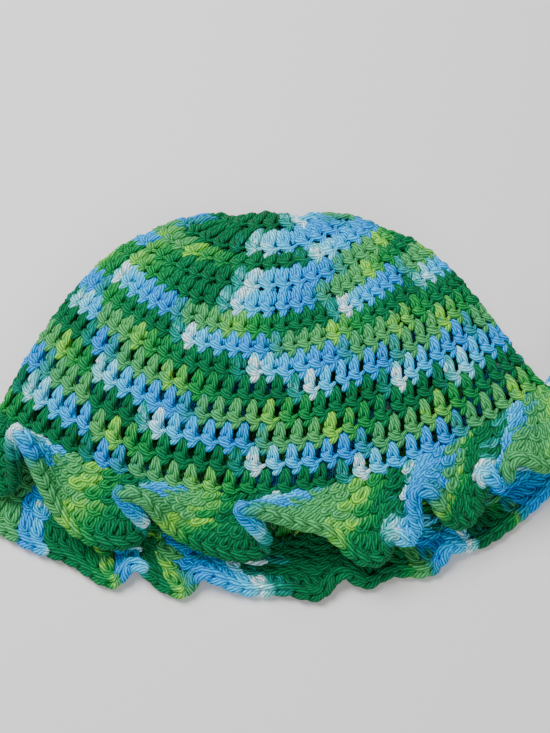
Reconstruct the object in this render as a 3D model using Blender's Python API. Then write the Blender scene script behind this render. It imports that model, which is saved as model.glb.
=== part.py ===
"""Crochet bucket hat with a ruffled brim, lying folded flat on its side.

Frame: metres, X to the right, Y from the mouth towards the crown's far end,
Z up.  The hat rests on z = 0 and its bounding box is centred on x = y = 0.
"""
import bpy
import numpy as np

# driving sizes, metres
CROWN_WIDTH = 0.272
CROWN_LENGTH = 0.155
CROWN_HEIGHT = 0.050
CROWN_WALL = 0.0040
RUFFLE_WIDTH = 0.042
RUFFLE_WALL = 0.0026
SEAM_GAP = 0.0003
SHIFT = (0.0031, 0.02195)

# facets
CROWN_COLUMNS = 60
CROWN_RINGS = 17
RUFFLE_COLUMNS = 300
RUFFLE_RINGS = 6

# The crown's rounds, counted from the centre of the crown to the mouth.
# middle, half and slant are shares of the width, fold, upper and under are
# shares of the length, the two rises are shares of the height.
ROUND_NAMES = ("round", "middle", "half", "slant", "fold", "upper", "under",
               "fold_rise", "upper_rise", "bend")
ROUNDS = (
    (0.0, -0.024, 0.000, 0.000, 0.452, 0.452, 0.452, 0.00, 0.00, 1.0),
    (1.0, -0.026, 0.044, 0.000, 0.478, 0.501, 0.378, 0.15, 0.33, 0.9),
    (2.0, -0.030, 0.092, 0.000, 0.494, 0.412, 0.302, 0.28, 0.60, 1.0),
    (3.0, -0.032, 0.164, 0.005, 0.480, 0.300, 0.228, 0.40, 0.78, 1.2),
    (4.0, -0.032, 0.210, 0.005, 0.446, 0.230, 0.154, 0.40, 0.90, 1.4),
    (5.0, -0.032, 0.248, 0.006, 0.412, 0.143, 0.080, 0.40, 0.97, 1.6),
    (6.0, -0.032, 0.281, 0.008, 0.377, 0.058, 0.006, 0.40, 1.00, 1.8),
    (7.0, -0.033, 0.318, 0.012, 0.320, -0.012, -0.068, 0.40, 1.00, 1.9),
    (8.0, -0.033, 0.347, 0.015, 0.263, -0.078, -0.142, 0.40, 1.00, 2.0),
    (10.0, -0.031, 0.398, 0.017, 0.142, -0.224, -0.290, 0.39, 0.95, 2.0),
    (12.0, -0.029, 0.448, 0.021, 0.002, -0.363, -0.438, 0.36, 0.83, 2.0),
    (14.0, -0.022, 0.500, 0.026, -0.152, -0.490, -0.588, 0.32, 0.66, 2.0),
)

# The brim's folds, counted once round the mouth from the left corner over
# the upper side; right, away and up are shares of the ruffle's width.
FOLD_NAMES = ("turn", "right", "away", "up")
FOLDS = (
    (0.004, -0.32, -0.14, 0.63),
    (0.019, -0.37, -0.70, -0.03),
    (0.030, -0.07, -0.82, -0.28),
    (0.043, -0.17, -0.22, 0.45),
    (0.054, -0.16, -0.08, 0.78),
    (0.071, -0.17, -0.49, 0.23),
    (0.088, -0.20, -0.74, -0.15),
    (0.109, -0.08, -0.88, -0.30),
    (0.124, 0.08, -0.80, -0.34),
    (0.135, 0.12, -0.58, -0.30),
    (0.152, -0.49, -0.21, 0.46),
    (0.166, -0.40, -0.24, 0.46),
    (0.181, -0.34, -0.43, -0.14),
    (0.197, -0.13, -0.62, -0.36),
    (0.210, 0.11, -0.70, -0.41),
    (0.223, 0.22, -0.58, -0.26),
    (0.236, -0.42, -0.27, 0.32),
    (0.249, -0.44, -0.32, 0.42),
    (0.267, -0.22, -0.46, 0.12),
    (0.283, -0.02, -0.56, -0.09),
    (0.297, 0.07, -0.92, -0.28),
    (0.309, 0.24, -0.98, -0.28),
    (0.322, 0.04, -0.72, 0.00),
    (0.330, 0.12, -0.92, -0.16),
    (0.339, 0.14, -0.86, -0.10),
    (0.350, -0.16, -0.50, 0.36),
    (0.358, -0.02, -0.56, 0.40),
    (0.368, 0.00, -0.88, 0.06),
    (0.377, 0.12, -1.00, -0.22),
    (0.387, 0.20, -0.94, -0.14),
    (0.400, 0.00, -0.60, 0.32),
    (0.412, 0.02, -0.86, 0.20),
    (0.422, 0.02, -0.96, 0.14),
    (0.432, -0.10, -0.78, 0.40),
    (0.441, 0.02, -0.84, 0.40),
    (0.449, 0.06, -0.96, 0.26),
    (0.457, 0.14, -1.02, 0.10),
    (0.466, 0.42, -0.78, 0.08),
    (0.474, 0.68, -0.40, 0.31),
    (0.484, 0.69, 0.07, 0.54),
    (0.496, 0.67, 0.40, 0.62),
    (0.512, 0.82, 0.14, 0.41),
    (0.530, 0.70, -0.58, 0.06),
    (0.555, 0.16, -1.12, 0.05),
    (0.583, -0.03, -1.10, 0.05),
    (0.597, -0.07, -1.00, 0.21),
    (0.611, -0.02, -1.10, 0.05),
    (0.639, -0.18, -0.90, 0.05),
    (0.666, -0.12, -0.86, 0.05),
    (0.685, -0.10, -0.62, 0.16),
    (0.704, -0.06, -0.80, 0.05),
    (0.729, -0.06, -0.66, 0.05),
    (0.765, -0.04, -0.62, 0.05),
    (0.788, -0.20, -0.48, 0.17),
    (0.806, -0.04, -0.75, 0.05),
    (0.832, 0.04, -0.79, 0.05),
    (0.849, -0.01, -0.64, 0.19),
    (0.867, 0.04, -1.00, 0.05),
    (0.904, -0.04, -1.01, 0.05),
    (0.941, -0.20, -1.12, 0.05),
    (0.967, -0.55, -0.93, 0.08),
    (0.985, -0.61, -0.36, 0.43),
)


def interpolate(table, at, period=None):
    """Smooth curve through the rows of a table, first column the abscissa."""
    rows = np.asarray(table, dtype=float)
    if period is not None:
        before = rows[-2:].copy()
        before[:, 0] -= period
        after = rows[:3].copy()
        after[:, 0] += period
        rows = np.vstack((before, rows, after))
    knots = rows[:, 0]
    values = rows[:, 1:]
    slopes = np.gradient(values, knots, axis=0)
    at = np.asarray(at, dtype=float)
    at = np.clip(at, knots[0], knots[-1])
    low = np.clip(np.searchsorted(knots, at, side="right") - 1, 0, len(knots) - 2)
    span = (knots[low + 1] - knots[low])[:, None]
    part = (at - knots[low])[:, None] / span
    square = part * part
    cube = square * part
    return ((2 * cube - 3 * square + 1) * values[low]
            + (cube - 2 * square + part) * span * slopes[low]
            + (3 * square - 2 * cube) * values[low + 1]
            + (cube - square) * span * slopes[low + 1])


def crown_points(rounds, angles):
    """Outer surface: one ring per round, angle 0 left corner, pi the right."""
    columns = interpolate(ROUNDS, rounds).T
    middle, half, slant, fold, upper, under, fold_rise, upper_rise, bend = columns[:, :, None]
    cosine = np.cos(angles)[None, :]
    sine = np.sin(angles)[None, :]
    share = np.abs(sine)
    above = sine > 0.0
    x = CROWN_WIDTH * (middle - half * cosine)
    reach = share ** bend
    target = np.where(above, upper, under)
    y = CROWN_LENGTH * (fold + (target - fold) * reach) - CROWN_WIDTH * slant * cosine
    over = fold_rise + (upper_rise - fold_rise) * share ** 0.8
    below = fold_rise * np.clip(1.0 - share / 0.45, 0.0, 1.0) ** 2
    z = CROWN_HEIGHT * np.where(above, over, below)
    points = np.stack((x, y, z), axis=-1)
    points[..., 0] += SHIFT[0]
    points[..., 1] += SHIFT[1]
    return points


def unit(vectors):
    """Vectors scaled to length one."""
    length = np.linalg.norm(vectors, axis=-1, keepdims=True)
    return vectors / np.maximum(length, 1e-12)


def crown_frames(rounds, angles):
    """Points, outward normals and directions towards the mouth."""
    step = 0.02
    points = crown_points(rounds, angles)
    last = ROUNDS[-1][0]
    ahead = np.minimum(rounds + step, last)
    behind = np.maximum(rounds - step, 0.0)
    down = crown_points(ahead, angles) - crown_points(behind, angles)
    along = crown_points(rounds, angles + step) - crown_points(rounds, angles - step)
    normals = unit(np.cross(down, along))
    down = unit(down - normals * np.sum(down * normals, axis=-1, keepdims=True))
    return points, normals, down


def mouth_angles(turns):
    """Angles that lie at even shares of the mouth's length."""
    angles = np.linspace(0.0, 2.0 * np.pi, 721)
    ring = crown_points(np.array([ROUNDS[-1][0]]), angles)[0]
    length = np.concatenate(([0.0], np.cumsum(np.linalg.norm(np.diff(ring, axis=0), axis=1))))
    return np.interp(turns, length / length[-1], angles)


def fold_reach(turns):
    """From the seam to the edge, each fold rounded over its neighbourhood."""
    reach = 0.0
    for offset, weight in ((-0.005, 0.25), (0.0, 0.50), (0.005, 0.25)):
        around = np.mod(turns + offset, 1.0)
        reach = reach + weight * interpolate(FOLDS, around, period=1.0)
    return RUFFLE_WIDTH * reach


def ruffle_frames(turns, steps):
    """Middle surface and normals of the brim, steps 0 at the seam to 1."""
    coarse = np.arange(CROWN_COLUMNS + 1) * 2.0 * np.pi / CROWN_COLUMNS
    last = np.array([ROUNDS[-1][0]])
    points, normals, down = crown_frames(last, coarse)
    seam = points[0] - normals[0] * CROWN_WALL / 2 + down[0] * SEAM_GAP
    angles = mouth_angles(turns)
    start = np.stack([np.interp(angles, coarse, seam[:, i]) for i in range(3)], axis=-1)
    facing = unit(np.stack([np.interp(angles, coarse, normals[0][:, i]) for i in range(3)], axis=-1))
    lead = unit(np.stack([np.interp(angles, coarse, down[0][:, i]) for i in range(3)], axis=-1))
    reach = fold_reach(turns)
    ahead = np.sum(lead * reach, axis=-1, keepdims=True)
    lead = lead * (0.12 * RUFFLE_WIDTH + 0.22 * np.clip(ahead, 0.0, RUFFLE_WIDTH))
    share = steps[:, None, None]
    surface = (start[None] + 2.0 * share * (1.0 - share) * lead[None]
               + share * share * reach[None])
    floor = RUFFLE_WALL / 2
    low = 0.0035
    height = surface[..., 2] - floor
    eased = np.where(height > low, height, low * np.exp(np.minimum((height - low) / low, 0.0)) * 0.98)
    surface[..., 2] = floor + np.where(share[..., 0] > 0.0, eased, height)
    around = np.roll(surface, -1, axis=1) - np.roll(surface, 1, axis=1)
    out = np.gradient(surface, axis=0)
    sides = unit(np.cross(out, around))
    sides[0] = facing
    return surface, sides


def ruffle_turns(count):
    """Turns that share out both the seam's and the waving edge's length."""
    dense = np.linspace(0.0, 1.0, 2401)
    surface, _ = ruffle_frames(dense[:-1], np.array([0.0, 0.5, 1.0]))
    hops = np.linalg.norm(np.roll(surface, -1, axis=1) - surface, axis=-1)
    hops = hops / hops.sum(axis=1, keepdims=True)
    weight = 0.35 * hops[0] + 0.25 * hops[1] + 0.40 * hops[2]
    travelled = np.concatenate(([0.0], np.cumsum(weight)))
    return np.interp(np.arange(count) / count, travelled / travelled[-1], dense)


def closed_mesh(name, outer, inner, collection, colour):
    """Two grids joined along both edges; a first row of one point is a pole."""
    rows, columns = outer.shape[:2]
    pole = np.ptp(outer[0], axis=0).max() < 1e-9
    vertices = []
    index = np.zeros((2, rows, columns), dtype=int)
    for side, grid in enumerate((outer, inner)):
        for row in range(rows):
            if row == 0 and pole:
                index[side, row, :] = len(vertices)
                vertices.append(tuple(grid[0, 0]))
                continue
            index[side, row] = len(vertices) + np.arange(columns)
            vertices.extend(tuple(point) for point in grid[row])
    faces = []
    for side in (0, 1):
        for row in range(rows - 1):
            for column in range(columns):
                following = (column + 1) % columns
                corners = [index[side, row, column], index[side, row + 1, column],
                           index[side, row + 1, following], index[side, row, following]]
                if side:
                    corners.reverse()
                faces.append(list(dict.fromkeys(int(corner) for corner in corners)))
    edges = [rows - 1] if pole else [0, rows - 1]
    for row in edges:
        for column in range(columns):
            following = (column + 1) % columns
            corners = [index[0, row, column], index[1, row, column],
                       index[1, row, following], index[0, row, following]]
            if row == 0:
                corners.reverse()
            faces.append([int(corner) for corner in corners])
    mesh = bpy.data.meshes.new(name)
    mesh.from_pydata(vertices, [], faces)
    mesh.polygons.foreach_set("use_smooth", [True] * len(faces))
    mesh.update()
    body = bpy.data.objects.new(name, mesh)
    collection.objects.link(body)
    body.data.materials.append(yarn_material(name + "_yarn", colour))
    return body


def yarn_material(name, colour):
    """Matte cotton in one colour."""
    material = bpy.data.materials.new(name)
    material.use_nodes = True
    shader = material.node_tree.nodes["Principled BSDF"]
    shader.inputs["Base Color"].default_value = (*colour, 1.0)
    shader.inputs["Roughness"].default_value = 0.85
    material.diffuse_color = (*colour, 1.0)
    return material


def build_crown(collection):
    """Hollow crown, one wall, open at the mouth."""
    rounds = np.linspace(0.0, 1.0, CROWN_RINGS) * ROUNDS[-1][0]
    angles = np.arange(CROWN_COLUMNS) * 2.0 * np.pi / CROWN_COLUMNS
    points, normals, _ = crown_frames(rounds, angles)
    normals[0] = (0.0, 0.0, -1.0)
    inner = points - normals * CROWN_WALL
    return closed_mesh("crown", points, inner, collection, (0.07, 0.35, 0.16))


def build_ruffle(collection):
    """Gathered brim, a band that waves once round the mouth."""
    turns = ruffle_turns(RUFFLE_COLUMNS)
    steps = np.linspace(0.0, 1.0, RUFFLE_RINGS) ** 0.9
    surface, sides = ruffle_frames(turns, steps)
    outer = surface + sides * RUFFLE_WALL / 2
    inner = surface - sides * RUFFLE_WALL / 2
    return closed_mesh("ruffle_brim", outer, inner, collection, (0.05, 0.28, 0.18))


def main():
    for body in list(bpy.data.objects):
        bpy.data.objects.remove(body)
    collection = bpy.data.collections.new("crochet_bucket_hat")
    bpy.context.scene.collection.children.link(collection)
    build_crown(collection)
    build_ruffle(collection)


main()
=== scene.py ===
"""Crochet bucket hat with a ruffled brim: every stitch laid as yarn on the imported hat's surface."""

import bpy
import numpy as np
from bpy.props import FloatProperty, FloatVectorProperty, IntProperty, PointerProperty
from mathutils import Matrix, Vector


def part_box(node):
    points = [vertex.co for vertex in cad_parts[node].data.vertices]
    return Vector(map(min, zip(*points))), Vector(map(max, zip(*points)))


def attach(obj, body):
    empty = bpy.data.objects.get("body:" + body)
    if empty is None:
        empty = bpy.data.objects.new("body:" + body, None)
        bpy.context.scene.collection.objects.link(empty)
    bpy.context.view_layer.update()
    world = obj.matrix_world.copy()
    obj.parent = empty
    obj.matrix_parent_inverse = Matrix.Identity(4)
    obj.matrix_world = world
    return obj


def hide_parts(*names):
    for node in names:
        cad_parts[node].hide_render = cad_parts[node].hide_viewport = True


bl_info = {
    "name": "Crochet bucket hat",
    "version": (1, 0, 0),
    "blender": (4, 5, 0),
    "location": "View3D > Sidebar > Hat",
    "description": "Lays yarn stitches, a braided brim edge and a plain studio round a crochet hat",
    "category": "Object",
}

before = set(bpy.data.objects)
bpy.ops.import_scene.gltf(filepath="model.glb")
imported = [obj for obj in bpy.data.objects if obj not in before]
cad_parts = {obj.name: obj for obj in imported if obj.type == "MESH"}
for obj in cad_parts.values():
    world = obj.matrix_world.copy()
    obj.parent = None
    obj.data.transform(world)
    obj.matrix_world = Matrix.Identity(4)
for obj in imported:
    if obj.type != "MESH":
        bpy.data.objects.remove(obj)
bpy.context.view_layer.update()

# The hat's shape, the same driving sizes as its solids, metres
CROWN_LOW, CROWN_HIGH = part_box("crown")
CROWN_WIDTH = CROWN_HIGH[0] - CROWN_LOW[0]
CROWN_LENGTH = 0.155
CROWN_HEIGHT = 0.050
CROWN_WALL = 0.0040
RUFFLE_WIDTH = 0.042
RUFFLE_WALL = 0.0026
SEAM_GAP = 0.0003
CROWN_MIDDLE = (CROWN_LOW[0] + CROWN_HIGH[0]) / 2 + 0.022 * CROWN_WIDTH
CROWN_BACK = 0.02195

# The crown's rounds from its closed centre to the mouth, as in the solids but for the
# first rounds, whose stitches are puffed up by some millimetres at the far side
ROUNDS = (
    # round, middle, half, slant, fold, upper, under, fold_rise, upper_rise, bend
    (0.0, -0.024, 0.000, 0.000, 0.468, 0.468, 0.468, 0.00, 0.00, 1.0),
    (1.0, -0.028, 0.048, 0.000, 0.506, 0.520, 0.388, 0.15, 0.33, 0.9),
    (2.0, -0.032, 0.096, 0.000, 0.522, 0.418, 0.306, 0.28, 0.60, 1.0),
    (3.0, -0.033, 0.164, 0.005, 0.489, 0.302, 0.228, 0.40, 0.78, 1.2),
    (4.0, -0.032, 0.210, 0.005, 0.446, 0.230, 0.154, 0.40, 0.90, 1.4),
    (5.0, -0.032, 0.248, 0.006, 0.412, 0.143, 0.080, 0.40, 0.97, 1.6),
    (6.0, -0.032, 0.281, 0.008, 0.377, 0.058, 0.006, 0.40, 1.00, 1.8),
    (7.0, -0.033, 0.318, 0.012, 0.320, -0.012, -0.068, 0.40, 1.00, 1.9),
    (8.0, -0.033, 0.347, 0.015, 0.263, -0.078, -0.142, 0.40, 1.00, 2.0),
    (10.0, -0.031, 0.398, 0.017, 0.142, -0.224, -0.290, 0.39, 0.95, 2.0),
    (12.0, -0.029, 0.448, 0.021, 0.002, -0.363, -0.438, 0.36, 0.83, 2.0),
    (14.0, -0.022, 0.500, 0.026, -0.152, -0.490, -0.588, 0.32, 0.66, 2.0),
)

# The brim's folds once round the mouth, shares of the ruffle's width, as in the solids
# but for the right corner, where the soft edge turns up further beside the crown
FOLDS = (
    # turn, right, away, up
    (0.004, -0.32, -0.14, 0.63),
    (0.019, -0.37, -0.70, -0.03),
    (0.030, -0.07, -0.82, -0.28),
    (0.043, -0.17, -0.22, 0.45),
    (0.054, -0.16, -0.08, 0.78),
    (0.071, -0.17, -0.49, 0.23),
    (0.088, -0.20, -0.74, -0.15),
    (0.109, -0.08, -0.88, -0.30),
    (0.124, 0.08, -0.80, -0.34),
    (0.135, 0.12, -0.58, -0.30),
    (0.152, -0.49, -0.21, 0.46),
    (0.166, -0.40, -0.24, 0.46),
    (0.181, -0.34, -0.43, -0.14),
    (0.197, -0.13, -0.62, -0.36),
    (0.210, 0.11, -0.70, -0.41),
    (0.223, 0.22, -0.58, -0.26),
    (0.236, -0.42, -0.27, 0.32),
    (0.249, -0.44, -0.32, 0.42),
    (0.267, -0.22, -0.46, 0.12),
    (0.283, -0.02, -0.56, -0.09),
    (0.297, 0.07, -0.92, -0.28),
    (0.309, 0.24, -0.98, -0.28),
    (0.322, 0.04, -0.72, 0.00),
    (0.330, 0.12, -0.92, -0.16),
    (0.339, 0.14, -0.86, -0.10),
    (0.350, -0.16, -0.50, 0.36),
    (0.358, -0.02, -0.56, 0.40),
    (0.368, 0.00, -0.88, 0.06),
    (0.377, 0.12, -1.00, -0.22),
    (0.387, 0.20, -0.94, -0.14),
    (0.400, 0.00, -0.60, 0.32),
    (0.412, 0.02, -0.86, 0.20),
    (0.422, 0.02, -0.96, 0.14),
    (0.432, -0.10, -0.78, 0.40),
    (0.441, 0.02, -0.84, 0.40),
    (0.449, 0.06, -0.96, 0.26),
    (0.457, 0.14, -1.02, 0.10),
    (0.466, 0.42, -0.78, 0.08),
    (0.474, 0.70, -0.32, 0.34),
    (0.484, 0.66, 0.26, 0.62),
    (0.496, 0.58, 0.76, 0.74),
    (0.512, 0.80, 0.44, 0.54),
    (0.530, 0.74, -0.50, 0.09),
    (0.555, 0.16, -1.12, 0.05),
    (0.583, -0.03, -1.10, 0.05),
    (0.597, -0.07, -1.00, 0.21),
    (0.611, -0.02, -1.10, 0.05),
    (0.639, -0.18, -0.90, 0.05),
    (0.666, -0.12, -0.86, 0.05),
    (0.685, -0.10, -0.62, 0.16),
    (0.704, -0.06, -0.80, 0.05),
    (0.729, -0.06, -0.66, 0.05),
    (0.765, -0.04, -0.62, 0.05),
    (0.788, -0.20, -0.48, 0.17),
    (0.806, -0.04, -0.75, 0.05),
    (0.832, 0.04, -0.79, 0.05),
    (0.849, -0.01, -0.64, 0.19),
    (0.867, 0.04, -1.00, 0.05),
    (0.904, -0.04, -1.01, 0.05),
    (0.941, -0.20, -1.12, 0.05),
    (0.967, -0.55, -0.93, 0.08),
    (0.985, -0.61, -0.36, 0.43),
)

# How the upper side of a round rises from its fold, and up to which share of the sine the
# fold's height lasts on the under side
RISE_BEND = 0.8
UNDER_SHARE = 0.45
# The brim's lines leave the seam along the crown: the length that each has at least, and
# the part that a line running ahead adds to it, shares of the ruffle's width
LEAD_LENGTH = 0.12
LEAD_AHEAD = 0.22
# Height over the floor below which the brim eases down to it
EASE_HEIGHT = 0.0035
EASE_SHARE = 0.98

# Grid of the cloth on which the stitches are laid
ROWS_TO_A_ROUND = 10
CROWN_COLUMNS = 720
BRIM_ROWS = 31
BRIM_COLUMNS = 2400
DENSE_COLUMNS = 4800

CROWN_ROUNDS = 14
GROWING_ROUNDS = 7
STITCHES_ADDED = 10
TUBE_SIDES = 6
# A strand is thinner at its ends, where it goes under the next
END_SHARE = 0.55
# Yarn is pressed flat where the hat lies on it
REST_HEIGHT = 0.0002

# Strands of one tall stitch in its own cell, from the left leg to the strand at the back:
# along the row, down towards the mouth, out of the cloth in millimetres, share of the
# yarn's thickness
STITCH_LEFT = (
    (0.37, -0.12, -3.0, 0.90), (0.33, 0.09, -1.9, 1.05), (0.27, 0.26, -1.3, 1.10),
    (0.17, 0.43, -1.3, 1.05), (0.11, 0.56, -2.2, 0.80),
)
STITCH_RIGHT = (
    (0.55, -0.12, -3.0, 0.90), (0.56, 0.13, -1.6, 1.08), (0.55, 0.36, -1.1, 1.12),
    (0.51, 0.57, -1.4, 1.05), (0.44, 0.70, -2.4, 0.90),
)
STITCH_BULB = (
    (0.05, 0.56, -2.3, 0.80), (0.06, 0.70, -1.1, 1.08), (0.19, 0.83, -0.7, 1.15),
    (0.38, 0.93, -0.7, 1.15), (0.57, 0.99, -1.0, 1.05), (0.72, 0.97, -1.9, 0.80),
)
STITCH_LINK = (
    (0.44, 0.93, -2.1, 0.70), (0.66, 0.89, -1.6, 0.74), (0.87, 0.82, -1.6, 0.74),
    (1.06, 0.76, -2.1, 0.70),
)
STITCH_FILL = (
    (0.17, 0.50, -2.0, 0.85), (0.29, 0.63, -1.2, 0.98), (0.46, 0.75, -1.2, 0.98),
    (0.60, 0.84, -2.1, 0.80),
)
STITCH_TICK = (
    (0.20, 1.27, -2.6, 0.60), (0.37, 1.18, -1.1, 1.12), (0.59, 1.06, -1.0, 1.12),
    (0.80, 0.94, -2.1, 0.70),
)
STITCH_BACK = ((0.50, -0.04, -3.7, 1.0), (0.46, 0.50, -4.0, 1.0), (0.95, 0.98, -3.4, 1.0))
# A strand of the round below that closes the hole in the tight rounds near the centre
STITCH_CLOSER = ((0.88, 0.00, -2.9, 0.9), (0.92, 0.30, -2.4, 1.1), (0.84, 0.62, -2.8, 0.9))
CLOSED_ROUNDS = 9
# The yarn lies fuller where the rounds are tight, and fullest in the brim's wide stitches
TIGHT_YARN = 1.10
STRAIGHT_YARN = 1.02
BRIM_YARN = 1.16

# Strands of a brim stitch, whose third column is zero on the cloth's middle surface
BRIM_LOOP = (
    (0.44, -0.14, -1.0, 0.85), (0.33, 0.06, 0.3, 1.05), (0.17, 0.32, 1.0, 1.15),
    (0.04, 0.58, 1.0, 1.15), (0.10, 0.79, 1.3, 1.15), (0.40, 0.93, 1.3, 1.15),
    (0.74, 0.90, 0.7, 1.00), (1.02, 0.76, -0.3, 0.80),
)
BRIM_LEG = (
    (0.56, -0.14, -0.9, 0.85), (0.68, 0.12, 0.6, 1.05), (0.70, 0.42, 1.1, 1.15),
    (0.58, 0.68, 0.6, 1.05), (0.44, 0.86, -0.4, 0.90),
)
# A strand in the middle of the cloth that closes the gap between two brim stitches
BRIM_CLOSER = ((0.98, -0.16, 0.0, 1.0), (1.00, 0.14, 0.0, 1.2), (0.90, 0.46, 0.0, 1.0))

# One link of the braided edge: along, degrees round the edge from straight out, thickness
BRAID_LINKS = (
    ((-0.20, 136, 0.7), (0.05, 122, 1.1), (0.45, 92, 1.3), (0.85, 62, 1.1), (1.15, 48, 0.7)),
    ((-0.20, -40, 0.7), (0.05, -26, 1.1), (0.45, 2, 1.3), (0.85, 28, 1.1), (1.15, 42, 0.7)),
    ((-0.30, -70, 0.7), (0.00, -82, 1.1), (0.45, -100, 1.2), (0.90, -118, 1.0), (1.25, -126, 0.7)),
)
# Metres from the braid's middle line to its links, and the row on which that line runs
BRAID_REACH = 0.0024
BRAID_ROW = 0.91
# How far the columns at the seam are drawn to even shares of the seam itself
EVEN_SHARE = 0.5

# How uneven stitches made by hand are: spread of their place along and down, their width
# and their lean as shares of a cell, of their lift in millimetres and of the yarn's
# thickness, and how much looser the brim is
UNEVEN_ALONG = 0.045
UNEVEN_DOWN = 0.025
UNEVEN_WIDTH = 0.06
UNEVEN_LIFT = 0.16
UNEVEN_LEAN = 0.05
UNEVEN_YARN = 0.04
BRIM_LOOSENESS = 1.8
MEAN_LEAN = 0.03
CELL_MIDDLE = 0.45

# Patterns in the yarn, to the metre: patches of dye of about 4 mm, sway of the twist of
# about 2.4 mm, and bundles of fibres of about 0.4 mm, because single ones are too fine to show
DYE_PATCHES = 260.0
TWIST_SWAYS = 420.0
FIBRE_BUNDLES = 2600.0

# The yarn's colour repeat, charted: share of the repeat and colour
COLOUR_REPEAT = (
    (0.000, "ECFEFF"), (0.028, "88E6FA"), (0.060, "38CCF8"), (0.135, "08B4F8"),
    (0.278, "0E98EC"), (0.330, "1E9494"), (0.362, "42A466"), (0.532, "4EAE60"),
    (0.556, "86E044"), (0.582, "58BA54"), (0.632, "169242"), (0.740, "067846"),
    (0.930, "046A3E"), (0.970, "109C92"), (0.990, "7CE0E8"),
)
REPEAT_STITCHES = 18.75
# How far the colour moves on within one stitch or link, shares of a cell
CROWN_STITCH_RUN = 0.8
BRIM_STITCH_RUN = 0.72
LINK_RUN = 0.9
# Where each round's white begins, in stitches from the left fold
WHITE_START = (3.0, 5.1, 4.7, 10.6, 8.0, 9.0, 0.4, 7.1, 11.4, 14.1, 0.6, 3.9, 9.4, 14.2)

# The brim's rounds of stitches between the mouth and the braid
BRIM_ROUNDS = (
    # share of the last round's stitches, its lower end, lead of its colours
    (0.47, 0.16, 0.09), (0.53, 0.32, 0.04), (0.62, 0.50, 0.07), (0.80, 0.68, -0.03),
    (1.00, 0.88, 0.02),
)
# Colour repeats passed by the yarn at each turn round the brim, whole numbers are white
BRIM_RUN = (
    # turn, repeats passed
    (0.000, -0.25), (0.050, -0.12), (0.086, 0.02), (0.096, 0.28), (0.108, 0.42),
    (0.128, 0.53), (0.138, 0.61), (0.148, 0.74), (0.172, 0.97), (0.195, 1.28),
    (0.206, 1.40), (0.222, 1.53), (0.236, 1.61), (0.243, 1.74), (0.283, 1.97),
    (0.308, 2.32), (0.318, 2.42), (0.345, 2.54), (0.352, 2.60), (0.358, 2.74),
    (0.384, 2.98), (0.392, 3.10), (0.428, 3.33), (0.440, 3.72), (0.472, 3.93),
    (0.490, 4.28), (0.500, 4.42), (0.530, 4.55), (0.548, 4.78), (0.566, 4.97),
    (0.590, 5.32), (0.615, 5.58), (0.640, 5.93), (0.662, 6.10), (0.690, 6.32),
    (0.697, 6.75), (0.714, 6.97), (0.733, 7.25), (0.742, 7.45), (0.750, 7.72),
    (0.806, 7.96), (0.822, 8.12), (0.842, 8.33), (0.850, 8.60), (0.864, 8.95),
    (0.878, 9.30), (0.884, 9.66), (0.912, 9.90), (0.916, 10.14), (0.926, 10.32),
    (0.930, 10.42), (0.965, 10.53), (1.000, 10.75),
)


def linear(code):
    """Linear colour with alpha from an sRGB hex code."""
    values = np.array([int(code[i:i + 2], 16) for i in (0, 2, 4)]) / 255.0
    low = values / 12.92
    high = ((values + 0.055) / 1.055) ** 2.4
    return (*np.where(values <= 0.04045, low, high).tolist(), 1.0)


def unit(vectors):
    """Vectors scaled to length one."""
    return vectors / np.maximum(np.linalg.norm(vectors, axis=-1, keepdims=True), 1e-12)


def interpolate(table, at, period=None):
    """Smooth curve through a table's rows: cubic between rows, slopes from their neighbours."""
    rows = np.asarray(table, dtype=float)
    if period is not None:
        before = rows[-2:].copy()
        before[:, 0] -= period
        after = rows[:3].copy()
        after[:, 0] += period
        rows = np.vstack((before, rows, after))
    knots = rows[:, 0]
    values = rows[:, 1:]
    slopes = np.gradient(values, knots, axis=0)
    at = np.clip(np.asarray(at, dtype=float), knots[0], knots[-1])
    low = np.clip(np.searchsorted(knots, at, side="right") - 1, 0, len(knots) - 2)
    span = (knots[low + 1] - knots[low])[:, None]
    part = (at - knots[low])[:, None] / span
    square = part * part
    cube = square * part
    return ((2 * cube - 3 * square + 1) * values[low]
            + (cube - 2 * square + part) * span * slopes[low]
            + (3 * square - 2 * cube) * values[low + 1]
            + (cube - square) * span * slopes[low + 1])


def crown_points(rounds, angles):
    """Outer surface. Each round is a flattened oval: x by the cosine, y and z by powers of the sine."""
    columns = interpolate(ROUNDS, rounds).T
    middle, half, slant, fold, upper, under, fold_rise, upper_rise, bend = columns[:, :, None]
    cosine = np.cos(angles)
    share = np.abs(np.sin(angles))
    above = np.sin(angles) > 0.0
    x = CROWN_MIDDLE + CROWN_WIDTH * (middle - half * cosine)
    target = np.where(above, upper, under)
    y = CROWN_LENGTH * (fold + (target - fold) * share ** bend) - CROWN_WIDTH * slant * cosine
    over = fold_rise + (upper_rise - fold_rise) * share ** RISE_BEND
    below = fold_rise * np.clip(1.0 - share / UNDER_SHARE, 0.0, 1.0) ** 2
    z = CROWN_HEIGHT * np.where(above, over, below)
    return np.stack((x, y + CROWN_BACK, z), axis=-1)


def crown_frames(rounds, angles):
    """Points, outward normals and directions towards the mouth, by small differences."""
    step = 0.02
    points = crown_points(rounds, angles)
    ahead = np.minimum(rounds + step, ROUNDS[-1][0])
    behind = np.maximum(rounds - step, 0.0)
    down = crown_points(ahead, angles) - crown_points(behind, angles)
    along = crown_points(rounds, angles + step) - crown_points(rounds, angles - step)
    normals = unit(np.cross(down, along))
    down = unit(down - normals * np.sum(down * normals, axis=-1, keepdims=True))
    return points, normals, down


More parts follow.
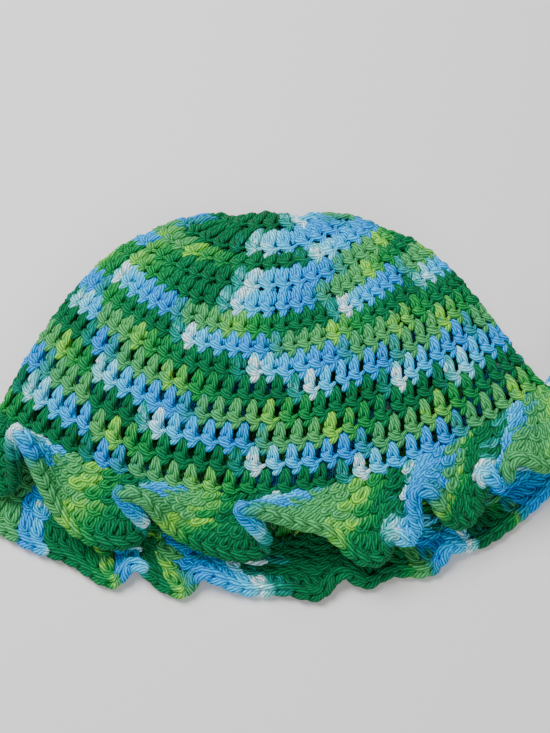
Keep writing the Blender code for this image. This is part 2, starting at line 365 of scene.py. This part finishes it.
def even_angles(round_number, turns):
    """Angles that lie at even shares of one round's length."""
    angles = np.linspace(0.0, 2.0 * np.pi, 721)
    ring = crown_points(np.array([round_number]), angles[None])[0]
    hops = np.linalg.norm(np.diff(ring, axis=0), axis=1)
    length = np.concatenate(([0.0], np.cumsum(hops)))
    return np.interp(turns, length / length[-1], angles)


def fold_reach(turns):
    """From the seam to the brim's edge, each fold rounded over its neighbourhood."""
    reach = 0.0
    for offset, weight in ((-0.005, 0.25), (0.0, 0.50), (0.005, 0.25)):
        reach = reach + weight * interpolate(FOLDS, np.mod(turns + offset, 1.0), period=1.0)
    return RUFFLE_WIDTH * reach


def ruffle_frames(turns, steps):
    """Brim: from the seam each line leaves along the crown and bends, by a square, to its fold."""
    last = np.array([ROUNDS[-1][0]])
    angles = even_angles(last[0], turns)
    points, normals, down = crown_frames(last, angles[None])
    start = points[0] - normals[0] * CROWN_WALL / 2 + down[0] * SEAM_GAP
    reach = fold_reach(turns)
    ahead = np.sum(down[0] * reach, axis=-1, keepdims=True)
    lead = down[0] * (LEAD_LENGTH * RUFFLE_WIDTH + LEAD_AHEAD * np.clip(ahead, 0.0, RUFFLE_WIDTH))
    share = steps[:, None, None]
    surface = start[None] + 2.0 * share * (1.0 - share) * lead[None] + share ** 2 * reach[None]
    floor = RUFFLE_WALL / 2
    height = surface[..., 2] - floor
    drop = np.minimum((height - EASE_HEIGHT) / EASE_HEIGHT, 0.0)
    eased = EASE_HEIGHT * np.exp(drop) * EASE_SHARE
    surface[..., 2] = floor + np.where(height > EASE_HEIGHT, height, eased)
    around = np.roll(surface, -1, axis=1) - np.roll(surface, 1, axis=1)
    sides = unit(np.cross(np.gradient(surface, axis=0), around))
    sides[0] = normals[0]
    return surface, sides


class Cloth:
    """A surface kept as a fine grid: rows across the rounds, columns at even shares of each row."""

    def __init__(self, rows, points, normals, brim=False):
        self.brim = brim
        self.rows = rows
        self.points = points
        self.normals = normals

    def at(self, row, turn):
        """Point and normal between four grid points; the turn wraps round."""
        count = self.points.shape[1]
        place = np.interp(row, self.rows, np.arange(len(self.rows)))
        low = np.minimum(place.astype(int), len(self.rows) - 2)
        down = (place - low)[..., None]
        column = np.mod(turn, 1.0) * count
        left = column.astype(int) % count
        right = (left + 1) % count
        across = (column - np.floor(column))[..., None]
        answers = []
        for grid in (self.points, self.normals):
            upper = grid[low, left] * (1 - across) + grid[low, right] * across
            lower = grid[low + 1, left] * (1 - across) + grid[low + 1, right] * across
            answers.append(upper * (1 - down) + lower * down)
        return answers[0], unit(answers[1])


def crown_cloth():
    """The crown's grid, from just beside its closed centre, where a ring has no width."""
    rows = np.linspace(0.05, CROWN_ROUNDS, CROWN_ROUNDS * ROWS_TO_A_ROUND + 1)
    turns = np.arange(CROWN_COLUMNS) / CROWN_COLUMNS
    angles = np.stack([even_angles(row, turns) for row in rows])
    points, normals, _ = crown_frames(rows, angles)
    return Cloth(rows, points, normals)


def ruffle_cloth():
    """The brim's grid, shared out evenly along the edge, and a part more evenly at the seam."""
    rows = np.linspace(0.0, 1.0, BRIM_ROWS)
    dense = np.arange(DENSE_COLUMNS) / DENSE_COLUMNS
    surface, sides = ruffle_frames(dense, rows)
    hops = np.linalg.norm(np.roll(surface, -1, axis=1) - surface, axis=-1)
    length = np.concatenate((np.zeros((len(rows), 1)), np.cumsum(hops, axis=1)), axis=1)
    length /= length[:, -1:]
    share = EVEN_SHARE * (1.0 - rows[:, None])
    length = share * length + (1.0 - share) * length[-1:]
    turns = np.arange(BRIM_COLUMNS) / BRIM_COLUMNS
    edges = np.append(dense, 1.0)
    place = np.stack([np.interp(turns, line, edges) for line in length]) * DENSE_COLUMNS
    left = place.astype(int) % DENSE_COLUMNS
    right = (left + 1) % DENSE_COLUMNS
    part = (place - np.floor(place))[..., None]
    row = np.arange(len(rows))[:, None]
    points = surface[row, left] * (1 - part) + surface[row, right] * part
    normals = unit(sides[row, left] * (1 - part) + sides[row, right] * part)
    return Cloth(rows, points, normals, brim=True)


def strand(path, samples):
    """A strand's path as evenly counted points on a smooth curve through its table."""
    rows = np.column_stack((np.arange(len(path)), np.asarray(path, dtype=float)))
    return interpolate(rows, np.linspace(0.0, len(path) - 1.0, samples))


def tubes(lines, facing, radius, run):
    """Yarn tubes along many lines at once: rings across each line, closed at both ends.

    lines and facing are (strand, sample, 3); a ring point is the line's point plus the radius
    times cosine of the facing and sine of the sideways direction.
    """
    count, samples = lines.shape[:2]
    ahead = unit(np.gradient(lines, axis=1))
    side = unit(np.cross(ahead, facing))
    lift = unit(np.cross(side, ahead))
    turn = np.arange(TUBE_SIDES) * 2.0 * np.pi / TUBE_SIDES
    ends = np.ones(samples)
    ends[[0, -1]] = END_SHARE
    width = (radius * ends)[..., None, None]
    ring = (np.cos(turn)[None, None, :, None] * lift[:, :, None]
            + np.sin(turn)[None, None, :, None] * side[:, :, None])
    vertices = lines[:, :, None] + width * ring
    vertices[..., 2] = np.maximum(vertices[..., 2], REST_HEIGHT)
    base = np.arange(count)[:, None, None] * samples * TUBE_SIDES
    level = np.arange(samples - 1)[None, :, None] * TUBE_SIDES
    spot = np.arange(TUBE_SIDES)[None, None, :]
    following = (spot + 1) % TUBE_SIDES
    a = base + level + spot
    b = base + level + following
    walls = np.stack((a, b, b + TUBE_SIDES, a + TUBE_SIDES), axis=-1).reshape(-1, 4)
    first = np.arange(count)[:, None] * samples * TUBE_SIDES
    last = first + (samples - 1) * TUBE_SIDES
    # each end of a six-sided tube is closed by two faces of four corners
    caps = np.concatenate([first + np.array([[3, 2, 1, 0]]), first + np.array([[5, 4, 3, 0]]),
                           last + np.array([[0, 1, 2, 3]]), last + np.array([[0, 3, 4, 5]])])
    hops = np.linalg.norm(np.diff(lines, axis=1), axis=-1)
    length = np.concatenate((np.zeros((count, 1)), np.cumsum(hops, axis=1)), axis=1)
    here = np.broadcast_to(length[:, :-1, None], (count, samples - 1, TUBE_SIDES))
    there = np.broadcast_to(length[:, 1:, None], (count, samples - 1, TUBE_SIDES))
    near = np.broadcast_to(spot / TUBE_SIDES, here.shape)
    far = near + 1.0 / TUBE_SIDES
    uv = np.stack((np.stack((here, near), -1), np.stack((here, far), -1),
                   np.stack((there, far), -1), np.stack((there, near), -1)), axis=3)
    uv = np.concatenate((uv.reshape(-1, 2), np.zeros((len(caps) * 4, 2))))
    runs = np.repeat(run.reshape(-1), TUBE_SIDES)
    return vertices.reshape(-1, 3), np.concatenate((walls, caps)), uv, runs


def yarn_piece(name, bundles, material):
    """One mesh from several bundles of tubes, with its UV map and its colour run."""
    vertices = np.concatenate([bundle[0] for bundle in bundles])
    offsets = np.cumsum([0] + [len(bundle[0]) for bundle in bundles[:-1]])
    faces = np.concatenate([bundle[1] + offset for bundle, offset in zip(bundles, offsets)])
    uv = np.concatenate([bundle[2] for bundle in bundles])
    runs = np.concatenate([bundle[3] for bundle in bundles])
    mesh = bpy.data.meshes.new(name)
    mesh.vertices.add(len(vertices))
    mesh.vertices.foreach_set("co", vertices.astype(np.float32).ravel())
    mesh.loops.add(faces.size)
    mesh.loops.foreach_set("vertex_index", faces.astype(np.int32).ravel())
    mesh.polygons.add(len(faces))
    mesh.polygons.foreach_set("loop_start", np.arange(len(faces), dtype=np.int32) * 4)
    mesh.polygons.foreach_set("use_smooth", np.ones(len(faces), dtype=bool))
    mesh.update(calc_edges=True)
    layer = mesh.uv_layers.new(name="yarn_length")
    layer.data.foreach_set("uv", uv.astype(np.float32).ravel())
    attribute = mesh.attributes.new("yarn_run", "FLOAT", "POINT")
    attribute.data.foreach_set("value", runs.astype(np.float32))
    mesh.validate()
    mesh.materials.append(material)
    piece = bpy.data.objects.new(name, mesh)
    bpy.context.scene.collection.objects.link(piece)
    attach(piece, "root")
    return piece


def add_node(tree, kind, settings=None, inputs=None, links=None):
    """A node with its settings, its socket values and the outputs that feed it."""
    node = tree.nodes.new(kind)
    for key, value in (settings or {}).items():
        setattr(node, key, value)
    for key, value in (inputs or {}).items():
        node.inputs[key].default_value = value
    for key, output in (links or {}).items():
        tree.links.new(output, node.inputs[key])
    return node


def cotton_yarn(name, sizes):
    """Soft-twisted cotton yarn, space-dyed: plies wound round each other, matt with a light fuzz.

    The colour follows the run of the yarn, the plies are slanted ridges round each strand, and the colour
    is darkened in the grooves between them and lightened on their tops: painted shade and painted
    highlight.
    """
    material = bpy.data.materials.new(name)
    material.use_nodes = True
    tree = material.node_tree
    shader = tree.nodes["Principled BSDF"]
    run = add_node(tree, "ShaderNodeAttribute", {"attribute_name": "yarn_run"})
    place = add_node(tree, "ShaderNodeTexCoord")
    blotch = add_node(tree, "ShaderNodeTexNoise", None,
                      {"Scale": DYE_PATCHES, "Detail": 2.0, "Roughness": 0.5},
                      {"Vector": place.outputs["Object"]})
    shift = add_node(tree, "ShaderNodeMath", {"operation": "MULTIPLY_ADD"},
                     {1: 0.05, 2: -0.025}, {0: blotch.outputs["Fac"]})
    moved = add_node(tree, "ShaderNodeMath", {"operation": "ADD"}, None,
                     {0: run.outputs["Fac"], 1: shift.outputs[0]})
    share = add_node(tree, "ShaderNodeMath", {"operation": "FRACT"}, None, {0: moved.outputs[0]})
    ramp = add_node(tree, "ShaderNodeValToRGB", None, None, {"Fac": share.outputs[0]})
    elements = ramp.color_ramp.elements
    while len(elements) < len(COLOUR_REPEAT):
        elements.new(0.5)
    for element, (position, code) in zip(elements, COLOUR_REPEAT):
        element.position = position
        element.color = linear(code)
    # plies: the sine of distance along the yarn over its twist plus the plies round it
    yarn = add_node(tree, "ShaderNodeUVMap", {"uv_map": "yarn_length"})
    parts = add_node(tree, "ShaderNodeSeparateXYZ", None, None, {"Vector": yarn.outputs["UV"]})
    along = add_node(tree, "ShaderNodeMath", {"operation": "MULTIPLY"},
                     {1: 2.0 * np.pi * sizes.plies / sizes.twist_pitch}, {0: parts.outputs["X"]})
    slant = add_node(tree, "ShaderNodeMath", {"operation": "MULTIPLY_ADD"},
                     {1: 2.0 * np.pi * sizes.plies}, {0: parts.outputs["Y"], 2: along.outputs[0]})
    waver = add_node(tree, "ShaderNodeTexNoise", None,
                     {"Scale": TWIST_SWAYS, "Detail": 1.0, "Roughness": 0.5},
                     {"Vector": place.outputs["Object"]})
    swayed = add_node(tree, "ShaderNodeMath", {"operation": "MULTIPLY_ADD"}, {1: 5.0},
                      {0: waver.outputs["Fac"], 2: slant.outputs[0]})
    wave = add_node(tree, "ShaderNodeMath", {"operation": "SINE"}, None, {0: swayed.outputs[0]})
    ridge = add_node(tree, "ShaderNodeMapRange", {"interpolation_type": "SMOOTHSTEP"},
                     {"From Min": -0.9, "From Max": 0.9},
                     {"Value": wave.outputs[0]})
    fibres = add_node(tree, "ShaderNodeTexNoise", None,
                      {"Scale": FIBRE_BUNDLES, "Detail": 3.0, "Roughness": 0.6},
                      {"Vector": place.outputs["Object"]})
    # painted shade and painted highlight: the base colour is multiplied by 0.48 in the grooves between
    # the plies and by up to 1.45 on their tops
    ply_shade_and_highlight = add_node(tree, "ShaderNodeMapRange", None,
                      {"To Min": 0.48, "To Max": 1.45}, {"Value": ridge.outputs["Result"]})
    fleck = add_node(tree, "ShaderNodeMapRange", None,
                     {"From Min": 0.25, "From Max": 0.75, "To Min": 0.75, "To Max": 1.25},
                     {"Value": fibres.outputs["Fac"]})
    # the painted ply shade and highlight times the random tone of the fibre bundles
    both = add_node(tree, "ShaderNodeMath", {"operation": "MULTIPLY"}, None,
                    {0: ply_shade_and_highlight.outputs["Result"], 1: fleck.outputs["Result"]})
    shade = add_node(tree, "ShaderNodeVectorMath", {"operation": "SCALE"}, None,
                     {0: ramp.outputs["Color"], "Scale": both.outputs[0]})
    tree.links.new(shade.outputs["Vector"], shader.inputs["Base Color"])
    height = add_node(tree, "ShaderNodeMath", {"operation": "MULTIPLY_ADD"}, {1: 0.25},
                      {0: fibres.outputs["Fac"], 2: ridge.outputs["Result"]})
    bump = add_node(tree, "ShaderNodeBump", None, {"Strength": 0.9, "Distance": 0.00025},
                    {"Height": height.outputs[0]})
    tree.links.new(bump.outputs["Normal"], shader.inputs["Normal"])
    shader.inputs["Roughness"].default_value = 0.78
    shader.inputs["Sheen Weight"].default_value = 0.03
    shader.inputs["Sheen Roughness"].default_value = 0.5
    shader.inputs["Specular IOR Level"].default_value = 0.12
    return material


def brim_colours(turn):
    """The colour run at a turn round the brim, by straight lines through its chart."""
    chart = np.array(BRIM_RUN)
    return np.interp(np.mod(turn, 1.0), chart[:, 0], chart[:, 1])


def row_of_stitches(cloth, paths, count, span, radius, start, run_start, chance):
    """One round: the same strands in every cell, their tables laid on the cloth between two rows.

    Each stitch is a little off: its place, width and lift are shifted by small random shares.
    A path marked hidden is laid only in the half of the round that lies underneath.
    """
    cell = np.arange(count)[:, None]
    top, bottom = span
    loose = BRIM_LOOSENESS if cloth.brim else 1.0
    shift_along = chance.normal(0.0, UNEVEN_ALONG * loose, (count, 1))
    shift_down = chance.normal(0.0, UNEVEN_DOWN * loose, (count, 1))
    stretch = chance.normal(1.0, UNEVEN_WIDTH * loose, (count, 1))
    lift = chance.normal(0.0, UNEVEN_LIFT * loose, (count, 1))
    lean = chance.normal(MEAN_LEAN, UNEVEN_LEAN * loose, (count, 1))
    bundles = []
    for path, samples, hidden in paths:
        along, down, out, thick = strand(path, samples).T
        along = CELL_MIDDLE + (along[None] - CELL_MIDDLE) * stretch + shift_along
        turn = (cell + along + lean * (0.5 - down[None]) + start) / count
        down = np.broadcast_to(down[None] + shift_down, turn.shape)
        points, normals = cloth.at(top + (bottom - top) * down, turn)
        lines = points + normals * ((out[None] + lift) * 0.001)[..., None]
        if cloth.brim:
            share = np.linspace(0.0, BRIM_STITCH_RUN, samples)[None]
            run = run_start + brim_colours((cell + start + share) / count)
        else:
            share = np.linspace(0.0, CROWN_STITCH_RUN, samples)[None]
            run = run_start + (cell + share) / REPEAT_STITCHES
        widths = radius * thick[None] * chance.normal(1.0, UNEVEN_YARN, (count, 1))
        run = np.broadcast_to(run, turn.shape)
        if hidden:
            under = np.mod((cell[:, 0] + start) / count, 1.0) > 0.5
            lines, normals, widths, run = (one[under] for one in (lines, normals, widths, run))
        bundles.append(tubes(lines, normals, widths, run))
    return bundles


class HatSizes(bpy.types.PropertyGroup):
    """Sizes and counts of the yarn and its stitches."""

    yarn_radius: FloatProperty(
        name="Yarn radius", description="Half the thickness of the yarn in a stitch",
        default=0.00138, min=0.0005, max=0.003, unit="LENGTH", precision=5)
    plies: IntProperty(name="Plies", description="Ridges round the yarn", default=6, min=2, max=8)
    twist_pitch: FloatProperty(
        name="Twist pitch", description="Length of yarn in which a ply goes round once",
        default=0.021, min=0.003, max=0.05, unit="LENGTH", precision=4)
    straight_stitches: IntProperty(
        name="Stitches to a round", description="Stitches in each straight round of the crown",
        default=GROWING_ROUNDS * STITCHES_ADDED, min=30, max=120)
    brim_stitches: IntProperty(
        name="Brim stitches", description="Stitches in the brim's last round",
        default=150, min=120, max=400)


class StudioSettings(bpy.types.PropertyGroup):
    """The plain studio."""

    floor_colour: FloatVectorProperty(
        name="Floor", description="Colour of the floor", subtype="COLOR", size=4,
        min=0.0, max=1.0, default=linear("FBF7F6"))
    light_power: FloatProperty(
        name="Light", description="Power of the large lamp overhead", default=30.0,
        min=0.0, max=200.0, unit="POWER")


class HAT_OT_crown(bpy.types.Operator):
    """Fourteen rounds of tall stitches, growing for seven rounds and then straight"""

    bl_idname = "hat.crown"
    bl_label = "Crown rounds"

    def execute(self, context):
        sizes = context.scene.hat_sizes
        cloth = crown_cloth()
        material = cotton_yarn("space_dyed_cotton_crown", sizes)
        paths = [(STITCH_LEFT, 6, False), (STITCH_RIGHT, 6, False), (STITCH_BULB, 8, False),
                 (STITCH_LINK, 5, False), (STITCH_FILL, 5, False), (STITCH_TICK, 5, False),
                 (STITCH_BACK, 4, False)]
        chance = np.random.default_rng(3)
        for number in range(1, CROWN_ROUNDS + 1):
            count = min(number * STITCHES_ADDED, sizes.straight_stitches)
            run_start = -WHITE_START[number - 1] / REPEAT_STITCHES
            closer = (STITCH_CLOSER, 5, number > CLOSED_ROUNDS)
            fullness = TIGHT_YARN if number <= CLOSED_ROUNDS else STRAIGHT_YARN
            bundles = row_of_stitches(cloth, [*paths, closer], count, (number - 1.0, float(number)),
                                      sizes.yarn_radius * fullness, number * 0.5, run_start, chance)
            piece = yarn_piece(f"crown_round_{number:02d}", bundles, material)
            if number == 1:
                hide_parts("crown")
        return {"FINISHED"}


class HAT_OT_brim(bpy.types.Operator):
    """Five rounds of stitches, more in each, so that they gather into lobes"""

    bl_idname = "hat.brim"
    bl_label = "Ruffled brim"

    def execute(self, context):
        sizes = context.scene.hat_sizes
        cloth = ruffle_cloth()
        material = cotton_yarn("space_dyed_cotton_brim", sizes)
        inner_loop, inner_leg = (
            tuple((1.0 - along, down, -out, thick) for along, down, out, thick in path)
            for path in (BRIM_LOOP, BRIM_LEG))
        paths = ((BRIM_LOOP, 11, False), (BRIM_LEG, 6, False), (inner_loop, 11, False),
                 (inner_leg, 6, False), (BRIM_CLOSER, 5, False))
        chance = np.random.default_rng(5)
        for number, (share, bottom, run_start) in enumerate(BRIM_ROUNDS):
            top = BRIM_ROUNDS[number - 1][1] if number else 0.0
            count = int(sizes.brim_stitches * share)
            bundles = row_of_stitches(cloth, paths, count, (top, bottom),
                                      sizes.yarn_radius * BRIM_YARN, number * 0.5, run_start, chance)
            piece = yarn_piece(f"brim_round_{number + 1}", bundles, material)
            if number == 0:
                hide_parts("ruffle_brim")
        return {"FINISHED"}


class HAT_OT_edge(bpy.types.Operator):
    """The braid of chain links along the brim's edge"""

    bl_idname = "hat.edge"
    bl_label = "Braided edge"

    def execute(self, context):
        sizes = context.scene.hat_sizes
        cloth = ruffle_cloth()
        material = cotton_yarn("space_dyed_cotton_edge", sizes)
        count = sizes.brim_stitches
        cell = np.arange(count)[:, None]
        bundles = []
        for path in BRAID_LINKS:
            along, degrees, thick = strand(path, 7).T
            turn = (cell + along[None]) / count
            points, normals = cloth.at(np.full(turn.shape, BRAID_ROW), turn)
            inner, _ = cloth.at(np.full(turn.shape, BRAID_ROW - 0.08), turn)
            away = unit(points - inner)
            around = np.radians(degrees)[None, :, None]
            out = away * np.cos(around) + normals * np.sin(around)
            lines = points + out * BRAID_REACH
            run = brim_colours((cell + np.linspace(0.0, LINK_RUN, len(along))[None]) / count)
            widths = np.broadcast_to(sizes.yarn_radius * BRIM_YARN * thick[None], turn.shape)
            bundles.append(tubes(lines, out, widths, run))
        yarn_piece("brim_edge_braid", bundles, material)
        return {"FINISHED"}


class HAT_OT_studio(bpy.types.Operator):
    """Plain pale floor, soft light from above and the camera at the photograph's angle"""

    bl_idname = "hat.studio"
    bl_label = "Studio"

    def execute(self, context):
        settings = context.scene.hat_studio
        mesh = bpy.data.meshes.new("studio_floor")
        reach = 3.0
        corners = [(-reach, -reach, 0.0), (reach, -reach, 0.0), (reach, reach, 0.0), (-reach, reach, 0.0)]
        mesh.from_pydata(corners, [], [(0, 1, 2, 3)])
        floor = bpy.data.objects.new("studio_floor", mesh)
        context.scene.collection.objects.link(floor)
        # matt laminate: an even pale ground that takes soft shadows and no reflections
        material = bpy.data.materials.new("matt_floor")
        material.use_nodes = True
        shader = material.node_tree.nodes["Principled BSDF"]
        shader.inputs["Base Color"].default_value = settings.floor_colour
        shader.inputs["Roughness"].default_value = 0.6
        mesh.materials.append(material)
        lamps = (
            ("overhead", (-0.55, 0.60, 1.35), 0.9, settings.light_power),
            ("front", (0.5, -1.2, 1.2), 1.2, settings.light_power * 0.30),
        )
        target = Vector((0.0, 0.0, 0.02))
        for name, position, size, power in lamps:
            light = bpy.data.lights.new(name, "AREA")
            light.shape = "DISK"
            light.size = size
            light.energy = power
            lamp = bpy.data.objects.new(name, light)
            lamp.location = position
            aim = target - Vector(position)
            lamp.rotation_euler = aim.to_track_quat("-Z", "Y").to_euler()
            context.scene.collection.objects.link(lamp)
        world = bpy.data.worlds.new("soft_room")
        world.use_nodes = True
        world.node_tree.nodes["Background"].inputs["Color"].default_value = (0.86, 0.88, 0.92, 1.0)
        world.node_tree.nodes["Background"].inputs["Strength"].default_value = 0.30
        context.scene.world = world
        camera = bpy.data.cameras.new("camera")
        camera.lens = 54.0
        camera.sensor_width = 36.0
        camera.clip_start = 0.01
        holder = bpy.data.objects.new("camera", camera)
        elevation = np.radians(70.0)
        distance = 0.550
        aim = np.array([-0.0009, 0.01395, 0.020])
        back = np.array([0.0, -np.cos(elevation), np.sin(elevation)]) * distance
        holder.location = Vector(aim + back)
        holder.rotation_euler = (np.pi / 2 - elevation, 0.0, 0.0)
        context.scene.collection.objects.link(holder)
        context.scene.camera = holder
        return {"FINISHED"}


class HAT_PT_panel(bpy.types.Panel):
    """Sizes and steps of the hat"""

    bl_idname = "HAT_PT_panel"
    bl_label = "Crochet hat"
    bl_space_type = "VIEW_3D"
    bl_region_type = "UI"
    bl_category = "Hat"

    def draw(self, context):
        for group in (context.scene.hat_sizes, context.scene.hat_studio):
            for key in group.bl_rna.properties.keys():
                if key not in ("rna_type", "name"):
                    self.layout.prop(group, key)
        for operator in OPERATORS:
            self.layout.operator(operator.bl_idname)


OPERATORS = (HAT_OT_crown, HAT_OT_brim, HAT_OT_edge, HAT_OT_studio)
CLASSES = (HatSizes, StudioSettings, *OPERATORS, HAT_PT_panel)


def register():
    for one in CLASSES:
        bpy.utils.register_class(one)
    bpy.types.Scene.hat_sizes = PointerProperty(type=HatSizes)
    bpy.types.Scene.hat_studio = PointerProperty(type=StudioSettings)


def unregister():
    del bpy.types.Scene.hat_studio
    del bpy.types.Scene.hat_sizes
    for one in reversed(CLASSES):
        bpy.utils.unregister_class(one)


def main():
    register()
    bpy.ops.hat.crown()
    bpy.ops.hat.brim()
    bpy.ops.hat.edge()
    bpy.ops.hat.studio()


if __name__ == "__main__":
    main()
